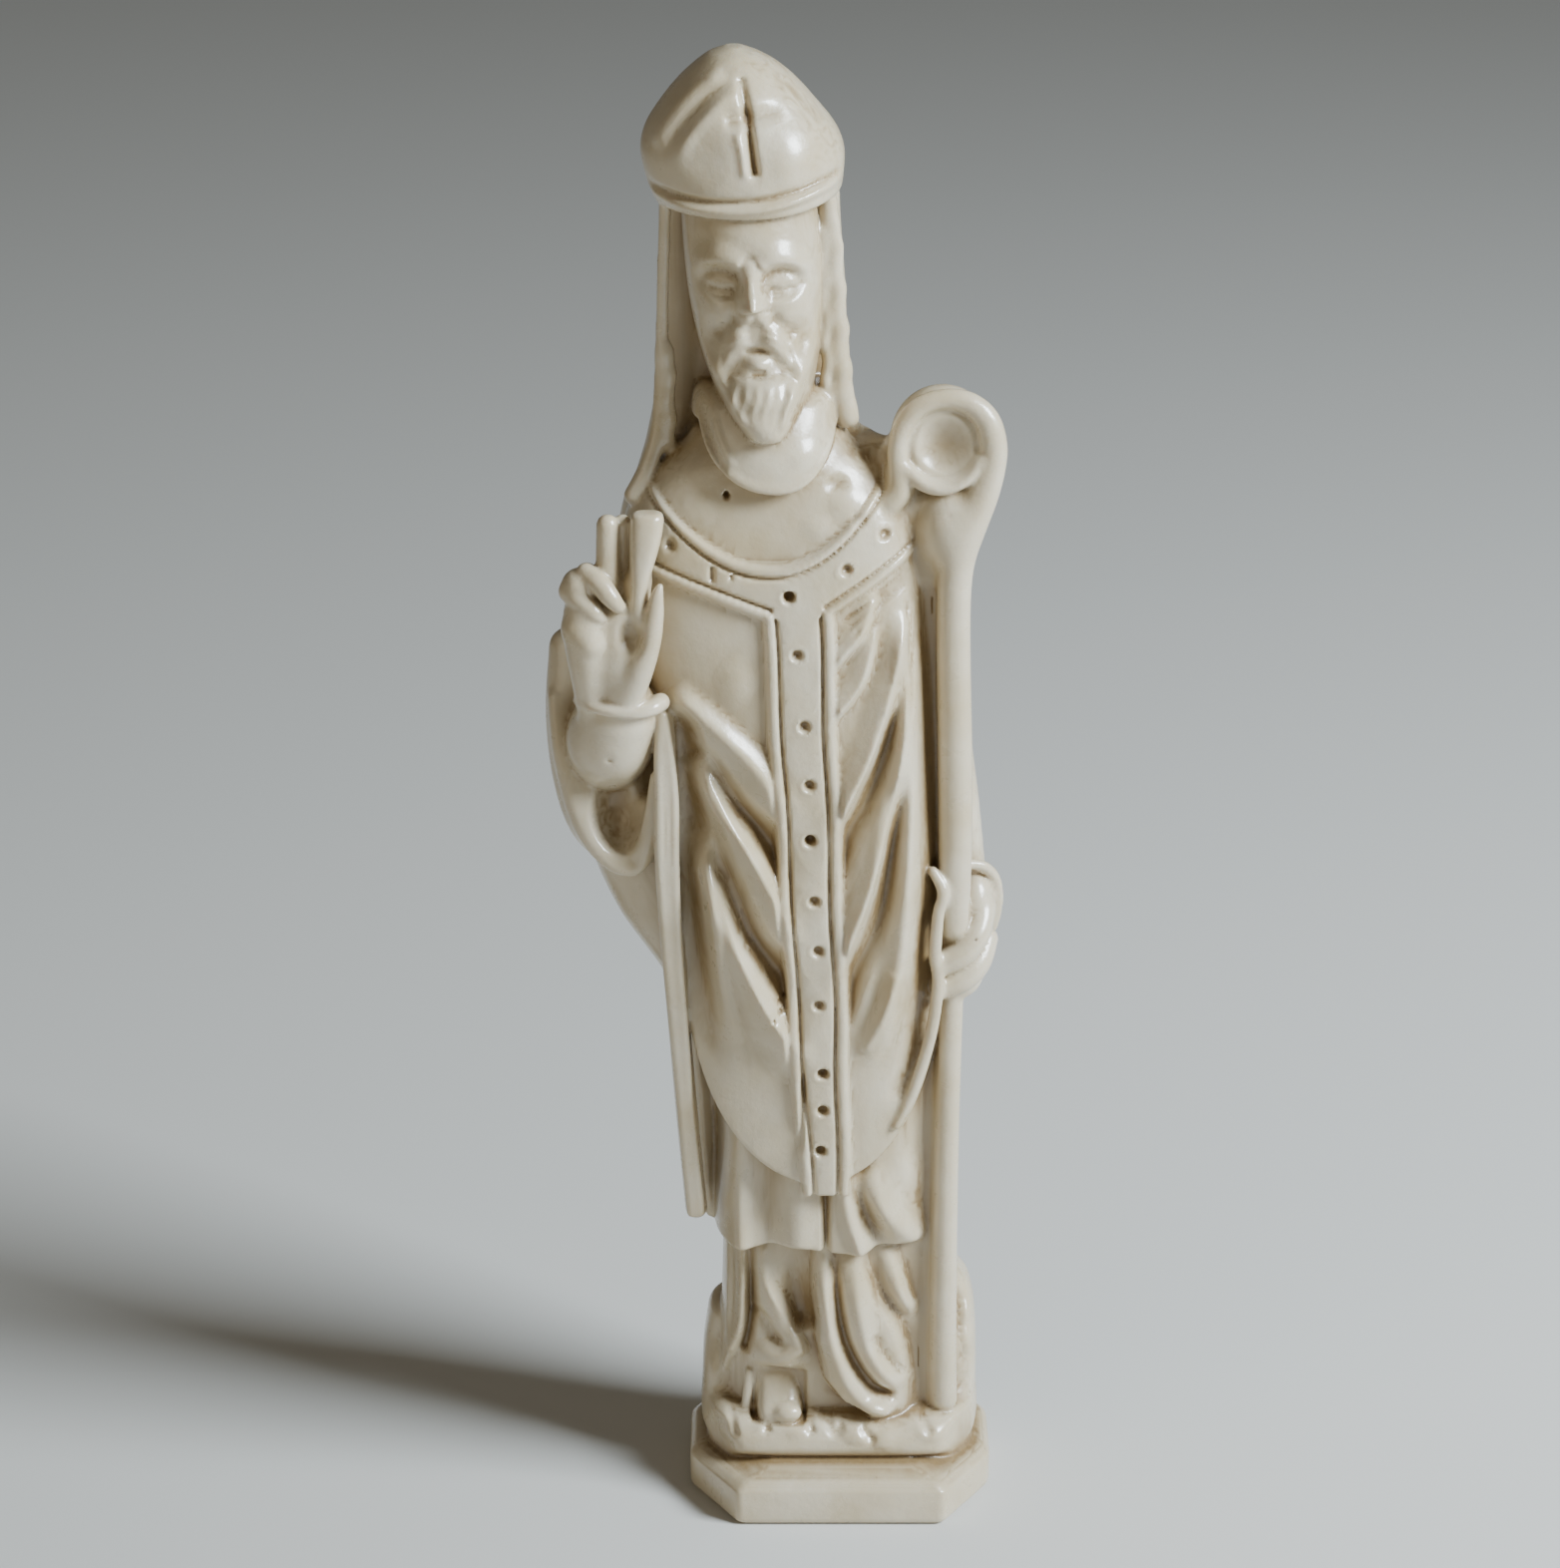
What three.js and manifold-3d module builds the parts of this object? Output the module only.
// A cast statuette of a standing bishop saint: mitre, chasuble with its orphrey, right hand
// raised in blessing, left hand on a crozier, on a small stepped plinth. It is one solid.
// Millimetres, +Z up, the saint looks along -Y, origin under the middle of the plinth.
import * as THREE from "three";
import Module from "manifold-3d";

// Driving sizes
const PLINTH = { width: 31, depth: 26.4, cornerWidth: 5, cornerDepth: 8.4 }; // with cut corners
const PLINTH_PROFILE = [[0, 0.35], [0.5, 0], [3.7, 0], [4.4, 0.6], [5.5, 3.7]]; // height, inset
const SLAB_INSET = 1.6; // the ground stands this far inside the plinth's outline
const ROCK_INSET = 1.2;
const HEM = { middle: -2.2, low: 36.6, left: 13.6, right: 12.6, rise: 24 }; // chasuble's lower edge
const DALMATIC_HEM = { height: 28.7, wave: 0.45, dip: 0.4, turnUp: 2.2 };
const SHOE_HEM = 14.5; // the alb's edge over the shoe
const STRIPE = { middle: -1.7, lean: 0.0475, from: 38, foot: 35.5, top: 97.8, narrow: 2.35, wide: 3.3 };
// The yoke band, left and right of its middle: how its neck edge curls up, where its outer edge
// starts to rise, and how steeply
const YOKE = { middle: -7, low: 101.9, foot: 95.8 };
const YOKE_SIDES = [{ curl: 0.052, from: -5, slope: 0.369 }, { curl: 0.066, from: -3.5, slope: 0.632 }];
const BAND_RISE = 0.6; // how far the bands stand out from the cloth
const COLLAR_EDGE = { middle: -6.3, left: 7.7, right: 5.7, low: 109, rise: 7.2 };
const FACE = { x: -8.75, z: 127, lean: -0.085 };
const RIM_FOOT = { height: 135.5, middle: -9, left: 0.004, right: 0.016 }; // mitre's lower edge
const CELL = 0.7; // step of the modelling grid
const MOST_TRIANGLES = 9400;
const IVORY = 0xe9e0c8;

// The grid of distances that the figure is modelled in, below zero inside the casting
const LOW = [-31.5, -15.4, -2];
const HIGH = [18.5, 15, 153];
const COUNT = LOW.map((low, axis) => Math.ceil((HIGH[axis] - low) / CELL) + 1);
const FAR = 4;
const field = new Float32Array(COUNT[0] * COUNT[1] * COUNT[2]).fill(FAR);

const span = (low, high, axis) => [
  Math.max(0, Math.floor((low - LOW[axis]) / CELL)),
  Math.min(COUNT[axis] - 1, Math.ceil((high - LOW[axis]) / CELL)),
];

function work(low, high, change) {
  const [[i0, i1], [j0, j1], [k0, k1]] = low.map((v, axis) => span(v, high[axis], axis));
  for (let k = k0; k <= k1; k++) {
    const z = LOW[2] + k * CELL;
    for (let j = j0; j <= j1; j++) {
      const y = LOW[1] + j * CELL;
      const row = (k * COUNT[1] + j) * COUNT[0];
      for (let i = i0; i <= i1; i++) {
        field[row + i] = change(LOW[0] + i * CELL, y, z, field[row + i]);
      }
    }
  }
}

const mix = (a, b, t) => a + (b - a) * t;
const clamp = (v, low, high) => Math.min(high, Math.max(low, v));
const ease = (low, high, v) => {
  const t = clamp((v - low) / (high - low), 0, 1);
  return t * t * (3 - 2 * t);
};

function join(a, b, blend) {
  const h = Math.max(blend - Math.abs(a - b), 0) / blend;
  return Math.min(a, b) - h * h * blend * 0.25;
}
const common = (a, b, blend) => -join(-a, -b, blend);

// A smooth curve through points, as rows of numbers
function curve(points, steps) {
  const made = [];
  const last = points.length - 1;
  for (let s = 0; s <= steps; s++) {
    const at = (s / steps) * last;
    const i = Math.min(Math.floor(at), last - 1);
    const t = at - i;
    const [p0, p1, p2, p3] = [-1, 0, 1, 2].map((o) => points[clamp(i + o, 0, last)]);
    made.push(p1.map((_, axis) => {
      const m1 = (p2[axis] - p0[axis]) / 2;
      const m2 = (p3[axis] - p1[axis]) / 2;
      const [a, b] = [p1[axis], p2[axis]];
      return a + t * m1 + t * t * (3 * (b - a) - 2 * m1 - m2) + t * t * t * (2 * (a - b) + m1 + m2);
    }));
  }
  return made;
}

// Distance to a tapering rod that runs along rows of x, y, z, radius
function fromRod(rows, x, y, z) {
  let best = Infinity;
  for (let i = 0; i + 1 < rows.length; i++) {
    const [a, b] = [rows[i], rows[i + 1]];
    const d = [b[0] - a[0], b[1] - a[1], b[2] - a[2]];
    const length2 = d[0] * d[0] + d[1] * d[1] + d[2] * d[2] + 1e-9;
    const t = clamp(((x - a[0]) * d[0] + (y - a[1]) * d[1] + (z - a[2]) * d[2]) / length2, 0, 1);
    const away = Math.hypot(x - a[0] - d[0] * t, y - a[1] - d[1] * t, z - a[2] - d[2] * t)
      - mix(a[3], b[3], t);
    best = Math.min(best, away);
  }
  return best;
}

// Adds a rod of clay along points of x, y, z, radius
function rod(points, blend, steps = 14) {
  const rows = points.length > 2 ? curve(points, steps) : points;
  const low = [0, 1, 2].map((i) => Math.min(...rows.map((r) => r[i] - r[3])) - blend - 1);
  const high = [0, 1, 2].map((i) => Math.max(...rows.map((r) => r[i] + r[3])) + blend + 1);
  work(low, high, (x, y, z, f) => join(f, fromRod(rows, x, y, z), blend));
}

// An ellipsoid of clay, or one taken away
function ball(centre, radii, blend, cut = false) {
  const reach = blend + 1;
  const small = Math.min(...radii);
  work(centre.map((c, i) => c - radii[i] - reach), centre.map((c, i) => c + radii[i] + reach),
    (x, y, z, f) => {
      const p = [x, y, z].map((v, i) => (v - centre[i]) / radii[i]);
      const k0 = Math.hypot(...p);
      const k1 = Math.hypot(...p.map((v, i) => v / radii[i]));
      const d = k0 < 1e-6 ? -small : (k0 * (k0 - 1)) / k1;
      return cut ? common(f, -d, blend) : join(f, d, blend);
    });
}

// A relief is how far a column's front or back stands out, over x and z
const emptyRelief = () => new Float32Array(COUNT[0] * COUNT[2]);
const standing = (relief, x, z) =>
  relief[Math.round((z - LOW[2]) / CELL) * COUNT[0] + Math.round((x - LOW[0]) / CELL)];

function draw(relief, [x0, z0], [x1, z1], change) {
  const [i0, i1] = span(x0, x1, 0);
  const [k0, k1] = span(z0, z1, 2);
  for (let k = k0; k <= k1; k++) {
    for (let i = i0; i <= i1; i++) {
      const n = k * COUNT[0] + i;
      relief[n] = change(LOW[0] + i * CELL, LOW[2] + k * CELL, relief[n]);
    }
  }
}

// Draws a fold along points of x, z and a share of its height: a rounded crest with hollow sides,
// width wide on its left as it is drawn and other on its right. Below zero it is a groove.
function stroke(relief, points, width, height, { other = width, crest = 0.4, ends = 0.14 } = {}) {
  const rows = curve(points.map(([x, z, share = 1]) => [x, z, share]), 5 * points.length);
  const reach = Math.max(width, other) + crest;
  const least = (n) => Math.min(...rows.map((r) => r[n])) - reach;
  const most = (n) => Math.max(...rows.map((r) => r[n])) + reach;
  draw(relief, [least(0), least(1)], [most(0), most(1)], (x, z, before) => {
    let [best, side, along, share] = [Infinity, 0, 0, 0];
    for (let n = 0; n + 1 < rows.length; n++) {
      const [a, b] = [rows[n], rows[n + 1]];
      const [dx, dz] = [b[0] - a[0], b[1] - a[1]];
      const t = clamp(((x - a[0]) * dx + (z - a[1]) * dz) / (dx * dx + dz * dz + 1e-9), 0, 1);
      const [ox, oz] = [x - a[0] - t * dx, z - a[1] - t * dz];
      const away = Math.hypot(ox, oz);
      if (away < best) {
        [best, side] = [away, dx * oz - dz * ox];
        [along, share] = [(n + t) / (rows.length - 1), mix(a[2], b[2], t)];
      }
    }
    const t = clamp((Math.hypot(best, crest) - crest) / (side > 0 ? width : other), 0, 1);
    const taper = ends ? ease(0, ends, along) * ease(0, ends, 1 - along) : 1;
    return before + height * share * (1 - t) ** 2 * (1 + 0.6 * t) * taper;
  });
}

// A round boss in a relief, or a pit where height is below zero
function lump(relief, x, z, wide, tall, height) {
  draw(relief, [x - wide, z - tall], [x + wide, z + tall], (u, v, before) => {
    const away = Math.hypot((u - x) / wide, (v - z) / tall);
    return before + height * Math.max(0, 1 - away * away) ** 1.5;
  });
}

// The section of a column at a height, smooth through rows of z, left, right, front, back, squareness
function sectionAt(rows, z) {
  let i = 0;
  while (i < rows.length - 2 && z > rows[i + 1][0]) i++;
  const [p0, p1, p2, p3] = [-1, 0, 1, 2].map((o) => rows[clamp(i + o, 0, rows.length - 1)]);
  const t = clamp((z - p1[0]) / (p2[0] - p1[0]), 0, 1);
  return p1.slice(1).map((v, n) => {
    const c = n + 1;
    const rise = p2[0] - p1[0];
    const m1 = p0 === p1 ? 0 : ((p2[c] - p0[c]) / (p2[0] - p0[0])) * rise;
    const m2 = p3 === p2 ? 0 : ((p3[c] - p1[c]) / (p3[0] - p1[0])) * rise;
    const d = p2[c] - v;
    return v + t * m1 + t * t * (3 * d - 2 * m1 - m2) + t * t * t * (m1 + m2 - 2 * d);
  });
}

function aroundSection([left, right, front, back, square], x, y) {
  const middle = (left + right) / 2;
  const halfWidth = (right - left) / 2;
  const spine = (front + back) / 2;
  const halfDepth = (back - front) / 2;
  const u = Math.abs(x - middle) / halfWidth;
  const v = Math.abs(y - spine) / halfDepth;
  const q = (u ** square + v ** square) ** (1 / square) + 1e-6;
  const slope = Math.hypot((u / q) ** (square - 1) / halfWidth, (v / q) ** (square - 1) / halfDepth);
  return (q - 1) / (slope + 1e-6);
}

// Adds a stack of rounded sections. Reliefs move its front and back out, and trim cuts it where
// it is above zero.
function column(rows, blend, { front, back, trim = () => -FAR, ends = 0.8 } = {}) {
  const least = (n, margin) => Math.min(...rows.map((r) => r[n])) - margin;
  const most = (n, margin) => Math.max(...rows.map((r) => r[n])) + margin;
  let [height, section] = [NaN, []];
  work([least(1, 2), least(3, 4), least(0, 2)], [most(2, 2), most(4, 3), most(0, 2)], (x, y, z, f) => {
    if (z !== height) [height, section] = [z, sectionAt(rows, z)];
    const spine = (section[2] + section[3]) / 2;
    const out = front ? standing(front, x, z) * ease(spine, spine - 5, y) : 0;
    const rear = back ? standing(back, x, z) * ease(spine, spine + 5, y) : 0;
    const side = aroundSection(section, x, y + out - rear);
    const capped = common(side, Math.max(rows[0][0] - z, z - rows.at(-1)[0]), ends);
    return join(f, common(capped, trim(x, y, z), 0.5), blend);
  });
}

// How far outside the plinth's outline a point is, above zero outside
function beyondPlan(x, y) {
  const across = Math.abs(x) - PLINTH.width / 2;
  const along = Math.abs(y) - PLINTH.depth / 2;
  const corner = ((across + PLINTH.cornerWidth) * PLINTH.cornerDepth + along * PLINTH.cornerWidth)
    / Math.hypot(PLINTH.cornerWidth, PLINTH.cornerDepth);
  return Math.max(across, along, corner);
}

// Ground slab on the plinth, with the rocks that back the robe on both sides
const SLAB = [
  [4.2, -13.7, 13.7, -8.0, 11.4, 5],
  [5.4, -13.7, 13.7, -8.5, 11.4, 5],
  [6.2, -14.0, 14.0, -9.5, 11.8, 4.8],
  [7.8, -13.9, 13.9, -9.4, 11.6, 4.5],
  [9.0, -13.5, 13.5, -8.5, 11.2, 4.3],
  [9.8, -13.0, 13.0, -7.0, 10.8, 4],
];
const LEFT_ROCK = [
  [6, -14.7, -6, -3.8, 8.5, 2.8],
  [13, -14.3, -6, -2.8, 8, 2.8],
  [18.3, -13.6, -6, -1.9, 7.4, 2.6],
];
const RIGHT_ROCK = [
  [6, 4, 14.2, -4.6, 8.5, 2.8],
  [15, 4, 14.2, -3.4, 8, 2.8],
  [20.5, 4, 13.4, -2.2, 7.4, 2.6],
  [23.4, 4, 11.8, -1.6, 6.6, 2.6],
];
column(SLAB, 0.25, { trim: (x, y) => beyondPlan(x, y) + SLAB_INSET, ends: 0.7 });
for (const rock of [LEFT_ROCK, RIGHT_ROCK]) {
  column(rock, 1.2, { trim: (x, y) => beyondPlan(x, y) + ROCK_INSET, ends: 1.4 });
}

// Alb: the under-robe, down to the ground, parted over one shoe
const ALB = [
  [7.0, -12.9, 10.4, -6.2, 9.4, 2.6],
  [12, -12.6, 10.0, -6.4, 9.2, 2.6],
  [20, -12.2, 9.6, -6.6, 9.0, 2.6],
  [32, -12.0, 9.2, -6.4, 9.0, 2.6],
];
const SWEPT_EDGE = [[10.3, 2.8], [11.5, 0.2], [13.7, -1.3], [18.3, -2.3], [24, -2.7], [40, -2.7]];
const SWEPT_RISE = 1.8;
function sweptEdgeAt(z) {
  let i = 0;
  while (i < SWEPT_EDGE.length - 2 && z > SWEPT_EDGE[i + 1][0]) i++;
  const [[z0, x0], [z1, x1]] = SWEPT_EDGE.slice(i, i + 2);
  return mix(x0, x1, clamp((z - z0) / (z1 - z0), 0, 1));
}
const ALB_AREA = [[-14, 6], [11, 33]];
const ALB_SHALLOW = { from: 22, to: 29.5, share: 0.35 }; // its folds flatten under the dalmatic
const alb = emptyRelief();
draw(alb, ...ALB_AREA, (x, z) =>
  SWEPT_RISE * ease(-0.6, 0.4, x - sweptEdgeAt(z)) * ease(10, 5.4, x));
stroke(alb, [[-4.4, 30], [-4.5, 24], [-3.5, 18.4]], 2.0, -1.8, { crest: 1.0 });
stroke(alb, [[-10.3, 30], [-10.2, 23], [-10.5, 18.6], [-11.7, 14.6], [-12.8, 11.4]], 1.2, 1.4);
stroke(alb, [[-9.0, 30], [-8.9, 23.4], [-9.2, 17.0]], 1.0, -1.2);
stroke(alb, [[-8.1, 28.6], [-7.7, 24.3], [-5.9, 20.9], [-3.7, 16.2]], 1.2, 1.1, { other: 2.8 });
stroke(alb, [[-1.8, 30], [-1.6, 23.8], [-1.0, 18.8], [0.4, 14.4], [2.2, 11.7], [4.4, 10.6]], 1.4, 0.8);
stroke(alb, [[-0.9, 30], [-0.5, 23.7], [0.2, 19.2], [1.5, 15.8], [3.4, 12.9], [5.6, 11.6]], 1.0, -1.4);
stroke(alb, [[1.1, 30], [1.5, 25.1], [2.4, 19.4], [4.0, 15.5], [6.6, 12.4]], 1.5, 1.0);
stroke(alb, [[2.6, 29], [3.8, 24.3], [6.0, 20.3], [7.8, 15.8], [8.8, 12.6]], 1.2, -1.2);
stroke(alb, [[4.2, 29], [5.2, 26.3], [6.3, 23.5], [7.8, 20.2]], 1.2, 0.9);
draw(alb, ...ALB_AREA, (x, z, before) =>
  before * mix(1, ALB_SHALLOW.share, ease(ALB_SHALLOW.from, ALB_SHALLOW.to, z)));
const albBack = emptyRelief();
for (const x of [-9.5, -5.5, -1, 3.4, 7.4]) {
  stroke(albBack, [[x, 31], [x * 1.02, 20], [x * 1.08, 8]], 1.9, 0.9, { ends: 0 });
}
column(ALB, 0.5, { front: alb, back: albBack });
const SHOE_HOLLOW = { middle: -6.6, half: 3.3, back: -5.0, floor: 8.9 };
work([-11, -12, 8], [-2, -3.6, 16], (x, y, z, f) => {
  const across = Math.abs(x - SHOE_HOLLOW.middle) - SHOE_HOLLOW.half;
  const low = Math.max(y - SHOE_HOLLOW.back, SHOE_HOLLOW.floor - z);
  return common(f, -common(common(across, z - SHOE_HEM, 0.5), low, 0.5), 0.5);
});
const SHOE = [
  [8.4, -8.6, -3.9, -8.0, -1, 3.6],
  [9.8, -8.6, -3.9, -8.0, -1, 3.6],
  [11.0, -8.6, -4.0, -7.5, -1, 3.4],
  [12.6, -8.5, -4.1, -6.9, -1, 3.2],
  [15.0, -8.4, -4.2, -6.2, -1, 3.2],
];
column(SHOE, 0.5, { ends: 0.6 });

// Dalmatic: the shorter tunic over the alb
const DALMATIC = [
  [28.2, -12.9, 9.4, -8.7, 9.2, 2.7],
  [32, -12.8, 9.4, -8.6, 9.4, 2.7],
  [40, -12.6, 9.6, -8.3, 9.6, 2.6],
  [60, -14.0, 10, -8.6, 9.8, 2.5],
];
const tunic = emptyRelief();
stroke(tunic, [[-10.4, 46], [-10.5, 36], [-10.4, 26]], 1.5, 1.3, { other: 2.2, ends: 0 });
stroke(tunic, [[-7.4, 43], [-7.4, 36], [-7.2, 26]], 2.0, -1.1, { ends: 0 });
stroke(tunic, [[-4.0, 40], [-4.1, 34], [-4.4, 26]], 1.7, 0.4, { ends: 0 });
stroke(tunic, [[-1.7, 38], [-1.6, 33], [-1.5, 26]], 0.8, -0.9, { ends: 0 });
stroke(tunic, [[0.2, 39], [0.75, 33.2], [1.9, 29.2], [2.3, 26]], 1.4, 0.9, { ends: 0 });
stroke(tunic, [[1.4, 38, 0.6], [1.9, 35.4], [2.7, 32.2], [3.7, 29.2], [4.2, 26]], 1.5, -0.9, { ends: 0 });
stroke(tunic, [[1.8, 37.6, 0.6], [3.4, 34.6], [5.0, 32.4], [6.6, 30.6], [8.4, 29.0, 0.6]], 2.6, 1.2,
  { other: 1.6, crest: 0.7 });
const tunicBack = emptyRelief();
for (const x of [-7.5, 1, 8]) stroke(tunicBack, [[x, 46], [x, 36], [x * 1.05, 26]], 2.4, 0.7, { ends: 0 });
column(DALMATIC, 0.35, {
  front: tunic,
  back: tunicBack,
  trim: (x, y, z) => DALMATIC_HEM.height + DALMATIC_HEM.wave * Math.cos((x + 5) * 0.55)
    - DALMATIC_HEM.dip * ease(4, 7, x) + DALMATIC_HEM.turnUp * ease(7.8, 9.6, x) - z,
});

// Chasuble: the back hangs to the shins in folds, the front to a rounded hem
const MANTLE = [
  [28.6, -14.6, 9.4, -2.2, 11.2, 2.6],
  [34, -15.4, 9.6, -2.6, 11.5, 2.6],
  [46, -16.4, 10.4, -3.4, 11.8, 2.6],
  [54, -17.6, 11.0, -3.8, 11.8, 2.6],
  [62, -22.6, 11.6, -3.6, 11.6, 2.6],
  [70, -25.8, 12.0, -4.0, 11.2, 2.6],
  [78, -27.8, 12.0, -4.6, 10.8, 2.6],
  [85, -27.4, 11.6, -5.2, 10.4, 2.5],
  [92, -24.0, 11.0, -6.4, 10.0, 2.4],
  [100, -22.4, 10.0, -6.8, 9.4, 2.4],
  [106, -21.2, 8.6, -7.0, 8.8, 2.3],
  [112, -18.2, 3.4, -6.2, 7.8, 2.2],
];
const mantle = emptyRelief();
stroke(mantle, [[-15.6, 58], [-14.6, 46], [-13.8, 34], [-13.4, 27]], 1.4, 1.6, { ends: 0 });
const BACK_FOLDS = [ // points of x, z, then width and height
  [[[-14.0, 96], [-12.6, 80], [-10.4, 60], [-10.6, 28]], 2.6, 1.0],
  [[[-8.4, 100], [-6.6, 84], [-4.6, 64], [-5.2, 28]], 2.8, 1.1],
  [[[-1.6, 100], [-1.6, 84], [0.4, 64], [0.2, 28]], 2.8, 1.1],
  [[[4.0, 96], [4.4, 82], [5.2, 64], [5.4, 28]], 2.6, 1.0],
  [[[-19.0, 84], [-17.6, 74], [-14.6, 58], [-13.8, 42]], 2.4, 0.9],
  [[[-22.0, 78], [-20.4, 70], [-17.4, 60]], 2.0, 0.8],
];
const mantleBack = emptyRelief();
for (const [points, width, height] of BACK_FOLDS) stroke(mantleBack, points, width, height, { ends: 0.22 });
column(MANTLE, 0.5, { front: mantle, back: mantleBack, ends: 1 });

const FRONT = [
  [34, -16.6, 9.4, -9.4, 3, 2.5],
  [46, -16.4, 9.8, -10.1, 3, 2.5],
  [58, -16.8, 10.0, -10.7, 3, 2.4],
  [70, -17.4, 9.2, -11.0, 3, 2.4],
  [82, -18.4, 8.4, -10.9, 3, 2.4],
  [92, -20.2, 7.9, -10.4, 3, 2.4],
  [100, -21.8, 7.4, -9.7, 3, 2.4],
  [106, -20.8, 6.2, -8.8, 3, 2.3],
  [110, -18.2, 3.2, -8.0, 3, 2.2],
  [114, -14.6, 0.0, -6.6, 3, 2.2],
];
const FOLDS = [ // points of x, z, share of height, then width on the left, height, width on the right
  [[[-16.8, 89.4, 0.8], [-13.1, 86.3], [-10.7, 84.2], [-8.8, 82.2], [-4.6, 76.6]], 1.8, 1.4, 3.6],
  [[[-14.6, 83.8, 0.7], [-11.7, 78.9], [-8.3, 75.2], [-4.4, 69.4]], 2.0, -1.2, 1.3],
  [[[-14.4, 82.6, 0.5], [-11.2, 76.7], [-8.3, 71.5], [-4.4, 63]], 1.8, 1.7, 3.3],
  [[[-14.8, 79, 0.8], [-12.4, 71.1], [-9.8, 64.8], [-7.9, 62], [-3.4, 55.4]], 2.0, -1.3, 1.5],
  [[[-14.0, 75.6, 0.4], [-12.0, 68], [-9.8, 61.4], [-7.4, 56.4], [-2.8, 49.8]], 2.0, 2.0, 4.4],
  [[[-14.0, 72.6, 0.5], [-12.5, 63.4], [-10.2, 52, 0.6]], 1.1, 0.7, 1.8],
  [[[-16.2, 88, 0.4], [-15.1, 80.3], [-14.9, 69.9], [-14.2, 60, 0.8], [-12.4, 48.6, 0.3]], 1.6, -1.9, 1.5],
  [[[3.1, 99.2, 0.7], [0.8, 94.3], [-2.4, 91]], 1.0, 1.0, 1.7],
  [[[3.1, 96.2, 0.6], [0.8, 89.2], [-2.6, 85.4]], 1.0, 1.1, 2.0],
  [[[5.8, 97, 0.5], [4.4, 89.2], [2.3, 82.6], [-0.8, 76], [-2.4, 72.8]], 1.3, 1.6, 2.6],
  [[[4.9, 87.8, 0.6], [3.5, 80.7], [0.6, 74.8, 1.2], [-1.8, 68.6]], 1.3, -1.0, 1.4],
  [[[6.1, 90, 0.5], [5.0, 79.8], [2.6, 69.4], [-1.4, 58.6, 0.8]], 1.3, 1.5, 2.3],
  [[[5.7, 81, 0.6], [4.3, 68.8], [1.3, 60.2, 1.2], [-1.4, 52.6]], 1.4, -1.1, 1.5],
  [[[5.6, 98.4, 0.5], [6.6, 86], [6.4, 72], [5.4, 59.6], [2.2, 49.8, 0.5]], 1.6, 1.5, 1.8],
  [[[8.7, 68, 0.5], [8.0, 56], [5.0, 45.6, 0.4]], 1.3, -0.9, 1.3],
];
const cloth = emptyRelief();
FOLDS.forEach(([points, width, height, other]) => stroke(cloth, points, width, height, { other }));

// Yoke and front stripe: raised bands, above zero inside
function stripeAt(x, z) {
  const middle = STRIPE.middle - (z - STRIPE.from) * STRIPE.lean;
  const share = clamp((z - STRIPE.foot) / (STRIPE.top - STRIPE.foot), 0, 1);
  const half = mix(STRIPE.narrow, STRIPE.wide, share);
  return [half - Math.abs(x - middle), z - STRIPE.foot];
}
function bandAt(x, z) {
  const [left, right] = YOKE_SIDES;
  const inner = YOKE.low + (x < YOKE.middle ? left : right).curl * (x - YOKE.middle) ** 2;
  const outer = YOKE.foot + (x < left.from ? (left.from - x) * left.slope : (x - right.from) * right.slope);
  return Math.max(Math.min(inner - z, z - outer), Math.min(...stripeAt(x, z), STRIPE.top - z));
}
draw(cloth, [-24, 30], [12, 116], (x, z, before) => {
  const inside = bandAt(x, z);
  return before * mix(0.2, 1, ease(0.15, -0.5, inside)) + BAND_RISE * ease(-0.45, 0.25, inside);
});
function hemAt(x) {
  const u = clamp((x - HEM.middle) / (x < HEM.middle ? HEM.left : HEM.right), -0.985, 0.985);
  return HEM.low + HEM.rise * (1 - Math.sqrt(1 - u * u));
}
column(FRONT, 0.45, {
  front: cloth,
  trim: (x, y, z) => Math.min((hemAt(x) - z) * 0.75, -Math.min(...stripeAt(x, z))),
});

// Right arm: the chasuble's loop that hangs from the forearm, the sleeve, its cuff and the edge
rod([[-20.6, -1, 100, 2.8], [-23.2, -0.4, 90, 4.2], [-23.4, -0.8, 81, 5.0], [-22, -1, 75, 4.8]], 1.6);
rod([[-26.8, -1.6, 91, 2.0], [-26.7, -2.4, 84.6, 2.5], [-25.7, -3.2, 78.4, 2.9], [-23.8, -4.2, 74, 3.2],
  [-20.8, -5, 72.6, 3.3], [-18.2, -5.4, 74.4, 2.8]], 0.6, 24);
ball([-22.2, -9.2, 76.2], [3.0, 4.6, 5.0], 0.5, true);
rod([[-28.0, -4.0, 86.6, 0.7], [-27.5, -5.1, 81.4, 0.8], [-26.1, -6.1, 76.2, 0.85], [-24.8, -6.8, 73, 0.9],
  [-23.3, -7.2, 71.1, 0.9], [-21.6, -7.5, 70.3, 0.9], [-20.0, -7.8, 70.7, 0.9], [-19.2, -8, 73, 0.8],
  [-18.6, -8.3, 80, 0.7]], 1.0, 40);
rod([[-22.9, -3.6, 80.8, 3.8], [-22.7, -6.2, 83.2, 4.4], [-21.9, -7.8, 86.2, 4.0]], 0.35);
rod([[-25.7, -7.6, 87.6, 0.75], [-24.3, -11.2, 88.3, 0.75], [-22.4, -11.9, 88.1, 0.75],
  [-20, -11.9, 87.9, 0.8], [-18.4, -11.1, 88.2, 0.9], [-17.7, -10, 88.3, 0.9]], 0.4, 20);
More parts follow.
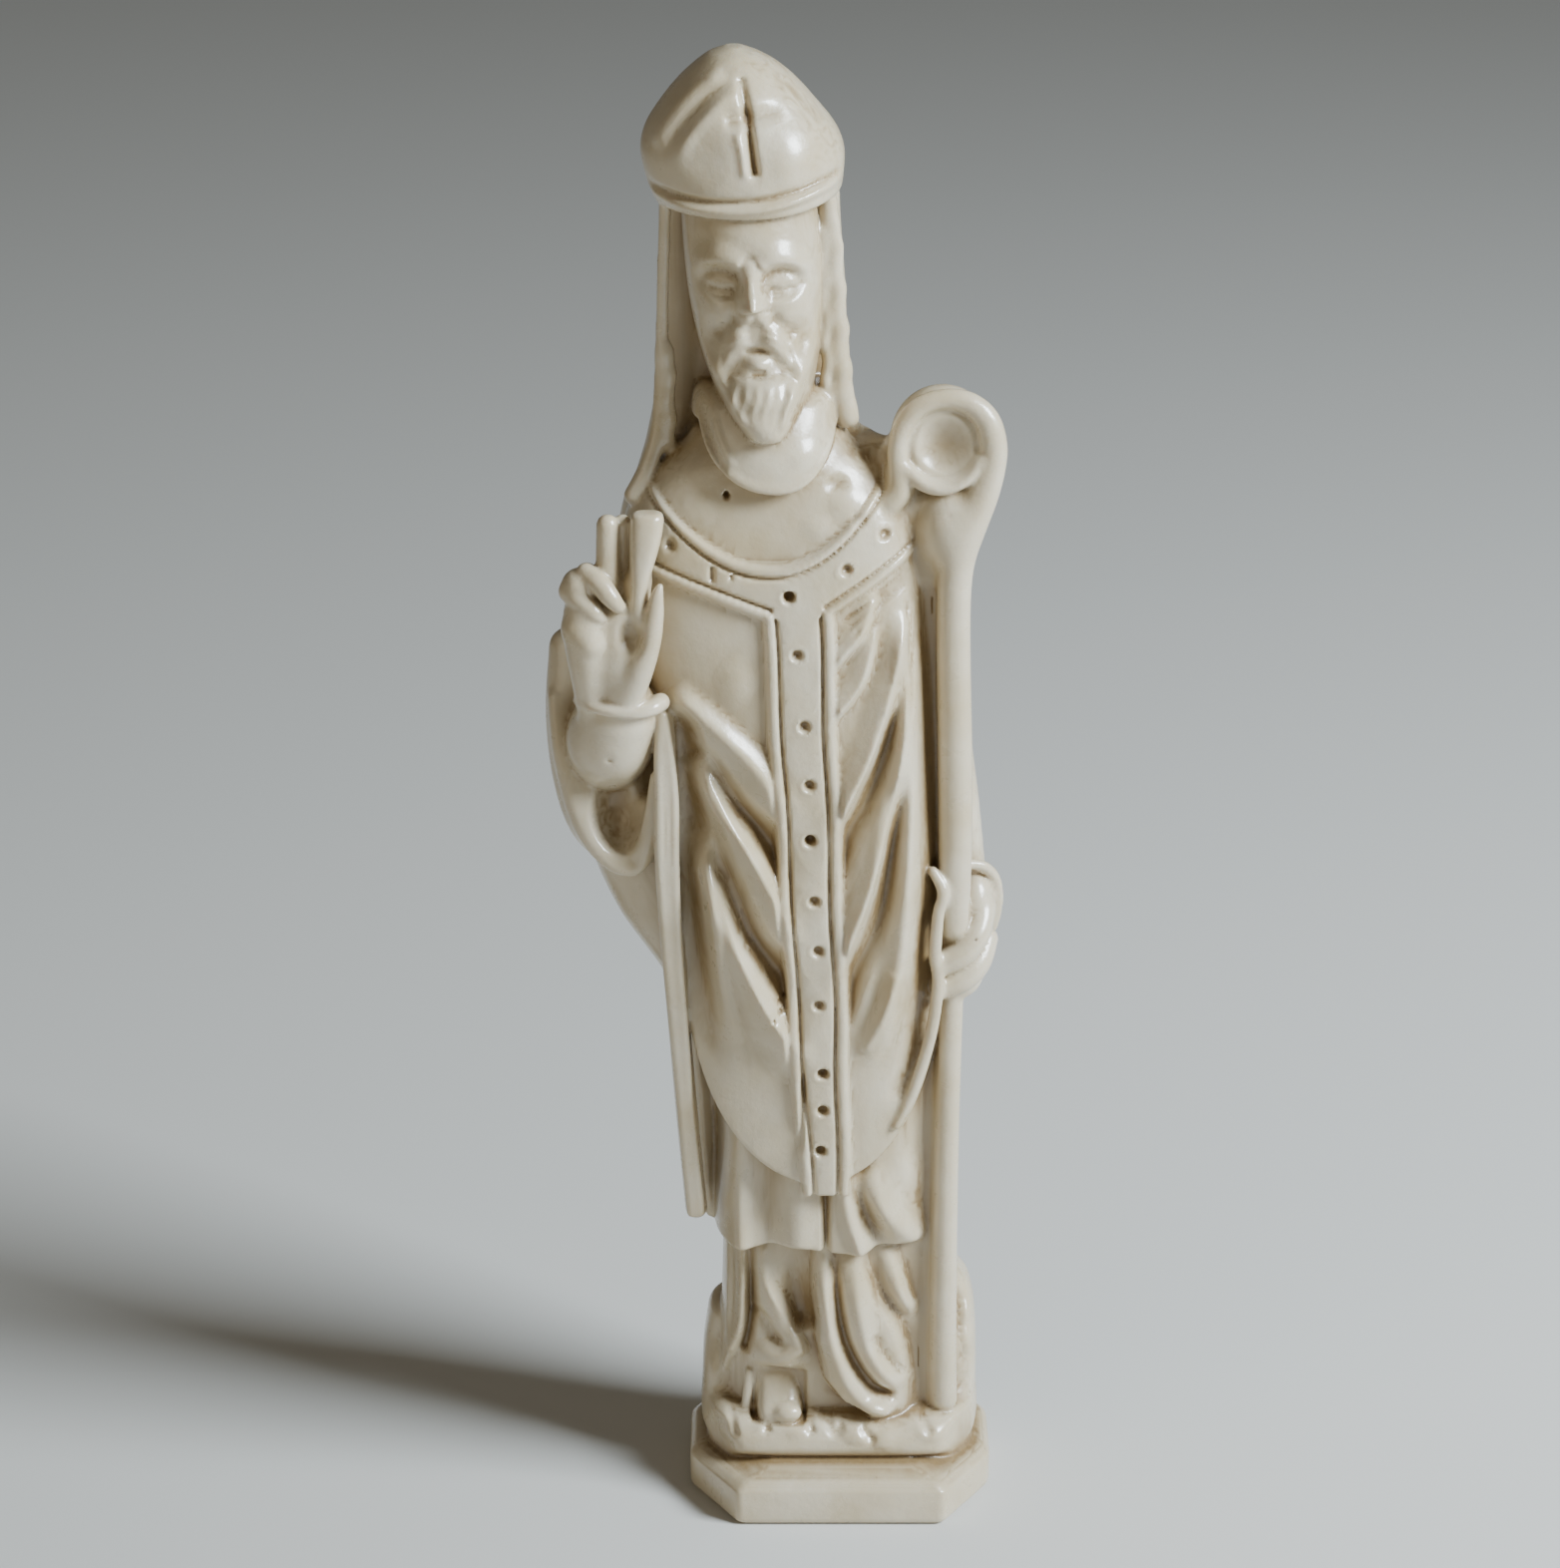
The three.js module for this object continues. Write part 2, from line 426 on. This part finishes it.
rod([[-17.6, -8.5, 86.6, 0.7], [-17.4, -8.6, 82.2, 1.0], [-17.2, -8.6, 71.8, 1.2], [-16.7, -8, 60, 1.1],
  [-15.7, -6.2, 45, 1.0], [-14.7, -4.4, 31.6, 1.0]], 0.5, 24);

// Right hand, palm forward: two fingers up, two folded, the thumb up
rod([[-24, -8.8, 87, 1.8], [-24.4, -10.3, 91, 1.9], [-24.6, -10.8, 95, 2.3], [-24.7, -10.8, 97.6, 2.2]], 0.5);
rod([[-21, -8.8, 87, 2.4], [-21.6, -10, 92, 2.6], [-21.4, -10.2, 97, 2.4]], 0.9);
ball([-25.2, -10.6, 100.2], [1.9, 1.9, 1.9], 0.6);
rod([[-22.4, -10.6, 97, 1.2], [-22.6, -10.6, 102, 1.15], [-22.6, -10.4, 106.3, 1.05]], 0.25);
const FOREFINGER = [
  [96.0, -20.6, -18.8, -12.8, -9.4, 2.6],
  [99.5, -20.5, -18.9, -12.8, -9.4, 2.6],
  [101.5, -20.5, -18.5, -12.8, -9.4, 2.6],
  [103.5, -20.5, -17.9, -12.7, -9.4, 2.6],
  [105.5, -20.5, -17.4, -12.5, -9.4, 2.5],
  [107.7, -20.4, -17.2, -12.1, -9.4, 2.4],
];
column(FOREFINGER, 0.25, { ends: 0.7 });
rod([[-21.2, -9.6, 96, 1.0], [-21.2, -9.6, 106.2, 0.9]], 0.3);
rod([[-24.6, -11, 101.7, 1.05], [-23.4, -12, 101, 1.05], [-22.4, -12.6, 99.9, 0.95],
  [-21.6, -12.6, 98.9, 0.8]], 0.2);
rod([[-26.2, -10.8, 99.8, 1.15], [-25.2, -11.8, 99.2, 1.05], [-24, -12.4, 98.3, 0.9],
  [-23.3, -12.4, 97.7, 0.8]], 0.2);
rod([[-25.6, -11.4, 96.2, 1.5], [-24.4, -12.2, 95.2, 1.3]], 0.6);
rod([[-20.8, -11, 89.8, 1.7], [-19.7, -11.9, 92.4, 1.45], [-18.7, -12.4, 95.2, 1.15],
  [-18.2, -12.6, 97.8, 0.95], [-17.8, -12.5, 100.4, 0.7]], 0.5);
rod([[-20.6, -10.4, 97, 1.8], [-19.8, -10.6, 100.6, 1.3]], 0.8);

// Crozier: staff, the web that backs it, knop, and the crook round its hollow disc
const WEB = { middle: [7.9, 0.2], half: [3.3, 5.6], low: 12, high: 107.5 };
rod([[10.6, -5.4, 10.6, 1.4], [10.5, -5.7, 20, 1.3], [10.6, -5.8, 40, 1.2], [10.9, -5.8, 58, 1.2]], 0.4);
work([3, -9, 10], [15, 7, 110], (x, y, z, f) => {
  const ends = Math.max(z - WEB.high, WEB.low - z);
  const across = Math.max(Math.abs(x - WEB.middle[0]) - WEB.half[0], ends);
  return join(f, common(Math.abs(y - WEB.middle[1]) - WEB.half[1], across, 0.8), 1.0);
});
const CROOK = [ // x, y, z, radius
  [10.9, -6.6, 63.6, 1.5], [11, -6.5, 70, 1.65], [10.9, -6.5, 80, 1.7], [10.6, -6.4, 92, 1.65],
  [10.6, -6.3, 98.6, 1.65], [11, -6.1, 102.2, 1.75], [12, -5.9, 105.2, 1.8], [13.2, -5.7, 108, 1.6],
  [14, -5.5, 110.6, 1.4], [14.15, -5.4, 112.8, 1.35], [13.5, -5.3, 115.2, 1.25], [11.8, -5.2, 116.8, 1.1],
  [9.4, -5.2, 117.2, 1.0], [7, -5.3, 116.4, 1.0], [5.5, -5.4, 114.5, 0.95], [5, -5.5, 112.2, 0.95],
  [5.2, -5.7, 110, 1.1], [5.2, -5.8, 108.4, 1.25], [4.4, -5.9, 107.2, 1.2],
];
ball([9.4, -1.9, 112.4], [5.0, 4.8, 5.2], 0.4);
rod(CROOK, 0.5, 76);
rod([[8.4, -3.8, 100, 1.9], [9.6, -3.8, 104, 2.6], [11.4, -3.4, 108, 2.2]], 1.2);
ball([9.9, -5.2, 104.4], [2.3, 2.5, 3.4], 1.6);
rod([[5.9, -6, 110.4, 0.7], [7.4, -6.5, 109.3, 0.8], [9.2, -6.6, 108.9, 0.85], [11.2, -6.4, 109.6, 0.85],
  [12.8, -5.9, 111.2, 0.8]], 0.5);
ball([9.5, -8.9, 113], [4.0, 4.2, 4.2], 0.5, true);
ball([5.2, -0.9, 108.3], [4.8, 4.4, 3.8], 1.4);

// Left arm and hand on the staff, and the chasuble's wavy edge beside it
rod([[7, 2, 98, 4], [8, 2.2, 84, 4.2], [9.6, 1, 74, 4.0], [11.4, -0.6, 66, 3.0]], 1.4);
rod([[12.2, -4.8, 69.2, 0.7], [13.8, -4.2, 68.8, 0.75], [14.9, -3.4, 67.5, 0.75], [15.2, -2.8, 65.8, 0.75],
  [15.2, -2.4, 63.6, 0.75], [14.9, -2.2, 61.6, 0.7]], 0.4);
ball([13.1, -3.6, 64.2], [2.1, 2.6, 3.9], 0.4);
ball([11.4, -4.6, 61.6], [2.6, 2.6, 5.0], 0.6);
rod([[14, -4.6, 64.8, 1.2], [13.2, -6.4, 62.6, 1.4], [11.8, -7.3, 61, 1.35], [10, -7.5, 60, 1.3]], 0.3);
rod([[14.2, -4.2, 61.2, 1.3], [13.3, -5.9, 59.4, 1.45], [11.9, -6.8, 58.1, 1.4], [10, -7.1, 57.3, 1.3]], 0.3);
rod([[13.5, -4, 58.6, 1.1], [12.5, -5.5, 57, 1.1], [10.8, -6.1, 56.2, 1.0]], 0.3);
rod([[8.8, -7.6, 69.6, 0.7], [9.7, -8, 68.1, 0.8], [9.6, -8.2, 66.4, 0.8], [9.2, -8.3, 63.4, 0.8],
  [9.1, -8.3, 61, 0.8], [9.3, -8.3, 58.8, 0.8], [9.1, -8.3, 55.6, 0.8], [8.6, -8.2, 52.4, 0.8],
  [7.9, -8.3, 49.6, 0.8], [6.8, -8.6, 46.2, 0.75], [5.4, -8.9, 43, 0.7]], 0.5, 44);

// Hair and veil behind the head
const HAIR = [
  [106, -20.4, 3.6, -3.2, 8.8, 2.6],
  [111, -19.2, 1.8, -2.4, 9.0, 2.5],
  [116, -18.3, 0.6, -1.4, 8.8, 2.5],
  [126, -18.0, 0.1, -1.4, 8.6, 2.5],
  [136, -17.5, -0.5, -1.8, 8.2, 2.4],
];
const hairBack = emptyRelief();
for (let n = 0; n < 7; n++) {
  const x = -15.2 + 2.1 * n;
  const wave = Array.from({ length: 8 }, (_, j) => [x + 0.35 * Math.sin(1.3 * j + n), 136 - 3.5 * j]);
  stroke(hairBack, wave, 1.1, 0.6);
}
column(HAIR, 0.5, { back: hairBack });
rod([[-17, -3.2, 136, 0.75], [-17.3, -3.2, 128, 0.75], [-17.4, -3.2, 120, 0.8], [-17.7, -3.4, 114, 0.9],
  [-18.8, -3.9, 110, 0.9], [-20.2, -4.4, 107.4, 0.9]], 0.5, 24);
rod([[-1.7, -2.8, 136, 0.9], [-1.1, -2.9, 128, 1.0], [-0.5, -3, 120, 1.05], [0.4, -3.2, 114.8, 1.0]], 0.6);

// Head: brow, sockets, nose, cheeks, moustache and beard, then the rolled collar
const HEAD = [
  [112.8, -9.2, -6.0, -8.8, 0, 2.0],
  [114.4, -10.4, -4.6, -9.6, 2, 2.1],
  [117, -11.9, -3.3, -9.6, 4, 2.2],
  [121, -13.5, -2.5, -9.0, 4, 2.2],
  [126, -14.7, -2.1, -8.7, 4, 2.1],
  [131, -15.3, -2.1, -8.5, 4, 2.1],
  [138, -15.6, -2.8, -8.0, 4, 2.1],
];
const features = emptyRelief();
const faceX = (across, height) => FACE.x + across + FACE.lean * (height - FACE.z);
const feature = (points, width, height, shape) =>
  stroke(features, points.map(([a, h, share]) => [faceX(a, h), h, share]), width, height, shape);
for (const side of [-1, 1]) {
  lump(features, faceX(2.85 * side, 129.5), 129.5, 2.7, 2.1, -1.2);
  lump(features, faceX(2.85 * side, 129.15), 129.15, 1.9, 1.2, 0.9);
  lump(features, faceX(4.2 * side, 127), 127, 2.4, 2.0, 0.55);
  lump(features, faceX(3.8 * side, 124), 124, 2.0, 2.4, -0.45);
  feature([[0.9 * side, 130.9, 0.6], [2.4 * side, 131.7], [4.1 * side, 131.4], [5.6 * side, 129.9, 0.3]],
    1.4, 0.7);
  feature([[0.35 * side, 124.55, 0.4], [1.6 * side, 124.25], [2.9 * side, 123.1], [3.6 * side, 121.4],
    [3.6 * side, 119.9, 0.4]], 1.1, 0.9);
}
feature([[0, 131.8, 0.3], [0, 130, 0.6], [0, 128.2, 0.9], [0, 126.6, 1.1]], 1.7, 1.6, { ends: 0.08 });
lump(features, faceX(0, 126.5), 126.5, 1.5, 1.3, 0.8);
feature([[-1.4, 122.75], [0, 122.9], [1.4, 122.75]], 0.9, -0.4, { ends: 0.35 });
lump(features, faceX(0, 118), 118, 3.9, 4.4, 1.0);
const COLLAR = [
  [108, -15.6, 0.2, -9.8, 3, 2.1],
  [111, -15.2, -0.2, -9.9, 3, 2.1],
  [114, -14.9, -0.5, -9.4, 4, 2.1],
  [116.6, -14.6, -0.8, -8.2, 4, 2.1],
  [118.2, -14.4, -1.0, -7.0, 4, 2.1],
];
function collarEdgeAt(x) {
  const away = Math.abs(x - COLLAR_EDGE.middle);
  const u = Math.min(0.99, away / (x < COLLAR_EDGE.middle ? COLLAR_EDGE.left : COLLAR_EDGE.right));
  return COLLAR_EDGE.low + COLLAR_EDGE.rise * (1 - Math.sqrt(1 - u * u));
}
column(COLLAR, 0.3, { trim: (x, y, z) => (collarEdgeAt(x) - z) * 0.7, ends: 1.6 });
column(HEAD, 0.3, { front: features });

// Mitre: rim, two stiff panels, the cut cross, the dip on top and the lappets behind
const MITRE = [
  [133.8, -17.7, -0.6, -8.9, 8.4, 2.2],
  [136.0, -18.2, -0.5, -9.0, 8.5, 2.2],
  [138.0, -18.9, -0.2, -9.0, 8.6, 2.2],
  [140.6, -19.4, -0.15, -8.8, 8.5, 2.2],
  [142.8, -18.9, -1.0, -8.4, 8.1, 2.15],
  [145.2, -17.4, -2.9, -7.5, 7.2, 2.1],
  [147.3, -15.7, -4.8, -6.5, 5.8, 2.05],
  [148.8, -14.1, -6.6, -5.2, 4.0, 2.0],
  [149.7, -12.9, -8.2, -4.0, 2.4, 2.0],
  [150.3, -11.7, -9.4, -2.6, 1.0, 2.0],
];
const RIM = [[-18.8, 137.2], [-14.7, 136.5], [-12, 136.4], [-8.2, 136.6], [-4.5, 137.3], [0.2, 138.6]];
const cap = emptyRelief();
stroke(cap, RIM, 0.9, 0.6, { ends: 0 });
stroke(cap, RIM.map(([x, z]) => [x, z + 1]), 0.8, -0.4, { ends: 0 });
stroke(cap, [[-9.9, 148.4, 0.5], [-9.4, 146, 0.8], [-9, 143.3], [-8.5, 139.6]], 0.9, -0.9, { ends: 0.06 });
stroke(cap, [[-11.6, 144.6, 0.9], [-9.2, 145], [-5.6, 145.4, 0.5]], 1.0, -0.6);
stroke(cap, [[-18.2, 141.6], [-17.2, 143.8], [-15.5, 146], [-13.6, 147.8], [-11.4, 149]], 1.0, 0.7);
const DIP = { y: 2.4, half: 2.2, top: 149.2, fall: 0.95, deep: 0.8 };
column(MITRE, 0.25, {
  front: cap,
  ends: 0.6,
  trim: (x, y, z) => {
    const away = x - RIM_FOOT.middle;
    return RIM_FOOT.height + (away < 0 ? RIM_FOOT.left : RIM_FOOT.right) * away ** 2 - z;
  },
});
work([-22, -5, 138], [2, 9, 152], (x, y, z, f) => {
  const dip = DIP.top - Math.abs(x + 10) * DIP.fall;
  return f + DIP.deep * ease(DIP.half, 0, Math.abs(y - DIP.y)) * ease(dip - 2.4, dip + 0.8, z);
});
for (const [x, sway] of [[-12.8, -0.8], [-5.8, 0.6]]) {
  rod([[x, 7.4, 137.5, 1.3], [x + 0.3 * sway, 8.4, 128, 1.3], [x + sway, 8.8, 118, 1.4],
    [x + sway, 8.9, 111, 1.5]], 0.6, 20);
}

// The surface of the modelled grid: each cell is cut into six corner-to-corner wedges
const WEDGES = [[1, 3], [3, 2], [2, 6], [6, 4], [4, 5], [5, 1]].map((pair) => [0, ...pair, 7]);
const SHORTEST = 0.04; // keeps a vertex off the grid's own corners, as a share of an edge

function surfaceOf() {
  const [nx, ny, nz] = COUNT;
  const shift = [0, nx * ny].flatMap((s) => [s, s + 1, s + nx, s + nx + 1]);
  const cellIsCut = (origin) => {
    for (const s of shift) if (field[origin + s] < 0 !== field[origin] < 0) return true;
    return false;
  };
  const vertexOn = new Map();
  const points = [];
  const triangles = [];
  const place = (n) => new THREE.Vector3(n % nx, Math.floor(n / nx) % ny, Math.floor(n / nx / ny));
  const crossing = (a, b) => {
    const key = Math.min(a, b) * field.length + Math.max(a, b);
    if (!vertexOn.has(key)) {
      const t = clamp(field[a] / (field[a] - field[b]), SHORTEST, 1 - SHORTEST);
      vertexOn.set(key, points.length);
      points.push(place(a).lerp(place(b), t).multiplyScalar(CELL).add(new THREE.Vector3(...LOW)));
    }
    return vertexOn.get(key);
  };
  const cutWedge = (inside, outside) => {
    const ring = inside.length === 2
      ? [[0, 0], [0, 1], [1, 1], [1, 0]].map(([i, o]) => crossing(inside[i], outside[o]))
      : inside.flatMap((a) => outside.map((b) => crossing(a, b)));
    const [p, q, r] = ring.map((n) => points[n]);
    const facing = q.clone().sub(p).cross(r.clone().sub(p));
    if (facing.dot(place(outside[0]).sub(place(inside[0]))) < 0) ring.reverse();
    for (let n = 1; n + 1 < ring.length; n++) triangles.push([ring[0], ring[n], ring[n + 1]]);
  };
  for (let k = 0; k + 1 < nz; k++) {
    for (let j = 0; j + 1 < ny; j++) {
      for (let i = 0; i + 1 < nx; i++) {
        const origin = (k * ny + j) * nx + i;
        if (!cellIsCut(origin)) continue;
        for (const wedge of WEDGES) {
          const corners = wedge.map((corner) => origin + shift[corner]);
          const inside = corners.filter((n) => field[n] < 0);
          if (!inside.length || inside.length === 4) continue;
          cutWedge(inside, corners.filter((n) => field[n] >= 0));
        }
      }
    }
  }
  return { points, triangles };
}

const LEAST_COSINE = 0.2; // between a triangle's facing before and after an edge is taken out

// Takes out the edges whose loss changes the surface least, until few enough triangles are left
function simplify({ points, triangles }, most) {
  const alive = triangles.map(() => true);
  const around = points.map(() => new Set());
  triangles.forEach((t, n) => t.forEach((v) => around[v].add(n)));
  const quadrics = points.map(() => new Float64Array(10));
  const normalOf = (t) => {
    const [a, b, c] = t.map((v) => points[v]);
    return b.clone().sub(a).cross(c.clone().sub(a));
  };
  for (const t of triangles) {
    const n = normalOf(t);
    const area = n.length();
    if (area < 1e-12) continue;
    n.divideScalar(area);
    const plane = [n.x, n.y, n.z, -n.dot(points[t[0]])];
    let slot = 0;
    for (let r = 0; r < 4; r++) {
      for (let c = r; c < 4; c++) {
        for (const v of t) quadrics[v][slot] += plane[r] * plane[c] * area;
        slot++;
      }
    }
  }
  const costAt = (q, p) => q[0] * p.x * p.x + q[4] * p.y * p.y + q[7] * p.z * p.z + q[9]
    + 2 * (q[1] * p.x * p.y + q[2] * p.x * p.z + q[5] * p.y * p.z + q[3] * p.x + q[6] * p.y + q[8] * p.z);
  const bestPlace = (a, b) => {
    const q = quadrics[a].map((v, n) => v + quadrics[b][n]);
    const choices = [points[a], points[b], points[a].clone().lerp(points[b], 0.5)];
    const m = new THREE.Matrix3().set(q[0], q[1], q[2], q[1], q[4], q[5], q[2], q[5], q[7]);
    const size = q[0] + q[4] + q[7];
    if (Math.abs(m.determinant()) > 1e-3 * size ** 3) {
      const solved = new THREE.Vector3(-q[3], -q[6], -q[8]).applyMatrix3(m.invert());
      if (solved.distanceTo(choices[2]) < 2 * points[a].distanceTo(points[b])) choices.push(solved);
    }
    const costs = choices.map((p) => costAt(q, p));
    const n = costs.indexOf(Math.min(...costs));
    return { q, place: choices[n], cost: costs[n] + 1e-5 * points[a].distanceToSquared(points[b]) };
  };
  const stamp = new Uint32Array(points.length);
  const heap = [];
  const lower = (i, j) => heap[i].cost < heap[j].cost;
  const swap = (i, j) => ([heap[i], heap[j]] = [heap[j], heap[i]]);
  const push = (a, b) => {
    heap.push({ a, b, stamps: stamp[a] + stamp[b], ...bestPlace(a, b) });
    for (let i = heap.length - 1; i > 0 && lower(i, (i - 1) >> 1); i = (i - 1) >> 1) swap(i, (i - 1) >> 1);
  };
  const pop = () => {
    swap(0, heap.length - 1);
    const top = heap.pop();
    for (let i = 0; ;) {
      const kids = [2 * i + 1, 2 * i + 2].filter((n) => n < heap.length);
      const least = kids.length === 2 && lower(kids[1], kids[0]) ? kids[1] : kids[0];
      if (least === undefined || !lower(least, i)) return top;
      swap(i, least);
      i = least;
    }
  };
  const neighbours = (v) => new Set([...around[v]].flatMap((n) => triangles[n]).filter((w) => w !== v));
  const turnsOver = (v, other, place) => [...around[v]].some((n) => {
    const t = triangles[n];
    if (t.includes(other)) return false;
    const before = normalOf(t);
    const kept = points[v];
    points[v] = place;
    const after = normalOf(t);
    points[v] = kept;
    return after.dot(before) < LEAST_COSINE * after.length() * before.length() || after.length() < 1e-6;
  });
  points.forEach((_, a) => neighbours(a).forEach((b) => a < b && push(a, b)));
  let left = triangles.length;
  while (left > most && heap.length) {
    const { a, b, stamps, q, place } = pop();
    if (!around[a].size || !around[b].size || stamps !== stamp[a] + stamp[b]) continue;
    const near = neighbours(a);
    if (!near.has(b) || [...neighbours(b)].filter((v) => near.has(v)).length !== 2) continue;
    if (turnsOver(a, b, place) || turnsOver(b, a, place)) continue;
    points[a] = place;
    quadrics[a] = q;
    for (const n of around[b]) {
      if (triangles[n].includes(a)) {
        alive[n] = false;
        left--;
        triangles[n].forEach((v) => v !== b && around[v].delete(n));
      } else {
        triangles[n] = triangles[n].map((v) => (v === b ? a : v));
        around[a].add(n);
      }
    }
    around[b].clear();
    stamp[a]++;
    neighbours(a).forEach((v) => push(a, v));
  }
  return { points, triangles: triangles.filter((_, n) => alive[n]) };
}

// The plinth: an oblong with its corners cut off, a bevelled edge and a sloping ledge
function plinthOf() {
  const corner = [PLINTH.width / 2 - PLINTH.cornerWidth, PLINTH.depth / 2 - PLINTH.cornerDepth];
  const ringAt = ([z, inset]) => {
    const [w, d] = [PLINTH.width / 2 - inset, PLINTH.depth / 2 - inset];
    const quarter = [[w, corner[1]], [corner[0], d]];
    return [[1, 1], [-1, 1], [-1, -1], [1, -1]].flatMap(([sx, sy]) =>
      (sx * sy > 0 ? quarter : [...quarter].reverse()).map(([x, y]) => [x * sx, y * sy, z]));
  };
  const rings = PLINTH_PROFILE.map(ringAt);
  const round = rings[0].length;
  const vertices = [[0, 0, PLINTH_PROFILE[0][0]], [0, 0, PLINTH_PROFILE.at(-1)[0]], ...rings.flat()];
  const index = [];
  for (let n = 0; n < round; n++) {
    const next = (n + 1) % round;
    index.push(0, 2 + next, 2 + n);
    const top = 2 + (rings.length - 1) * round;
    index.push(1, top + n, top + next);
    for (let r = 0; r + 1 < rings.length; r++) {
      const [low, high] = [2 + r * round, 2 + (r + 1) * round];
      index.push(low + n, low + next, high + next, low + n, high + next, high + n);
    }
  }
  return solidOf(vertices.flat(), index);
}

const wasm = await Module();
wasm.setup();

function solidOf(coordinates, index) {
  return new wasm.Manifold(new wasm.Mesh({
    numProp: 3,
    vertProperties: new Float32Array(coordinates),
    triVerts: new Uint32Array(index),
  }));
}

const figure = simplify(surfaceOf(), MOST_TRIANGLES);
const numbers = new Map();
const used = [];
figure.triangles.flat().forEach((v) => {
  if (!numbers.has(v)) {
    numbers.set(v, used.length);
    used.push(figure.points[v]);
  }
});
const figureIndex = figure.triangles.flat().map((v) => numbers.get(v));
const figureSolid = solidOf(used.flatMap((p) => [p.x, p.y, p.z]), figureIndex);
const casting = figureSolid.add(plinthOf()).getMesh();
const geometry = new THREE.BufferGeometry();
geometry.setAttribute("position", new THREE.BufferAttribute(casting.vertProperties, 3));
geometry.setIndex(new THREE.BufferAttribute(casting.triVerts, 1));
geometry.computeVertexNormals();

const statuette = new THREE.Mesh(geometry, new THREE.MeshStandardMaterial({
  color: IVORY,
  roughness: 0.35,
  metalness: 0,
}));
statuette.name = "statuette";

const part = new THREE.Group();
part.add(statuette);
export default part;
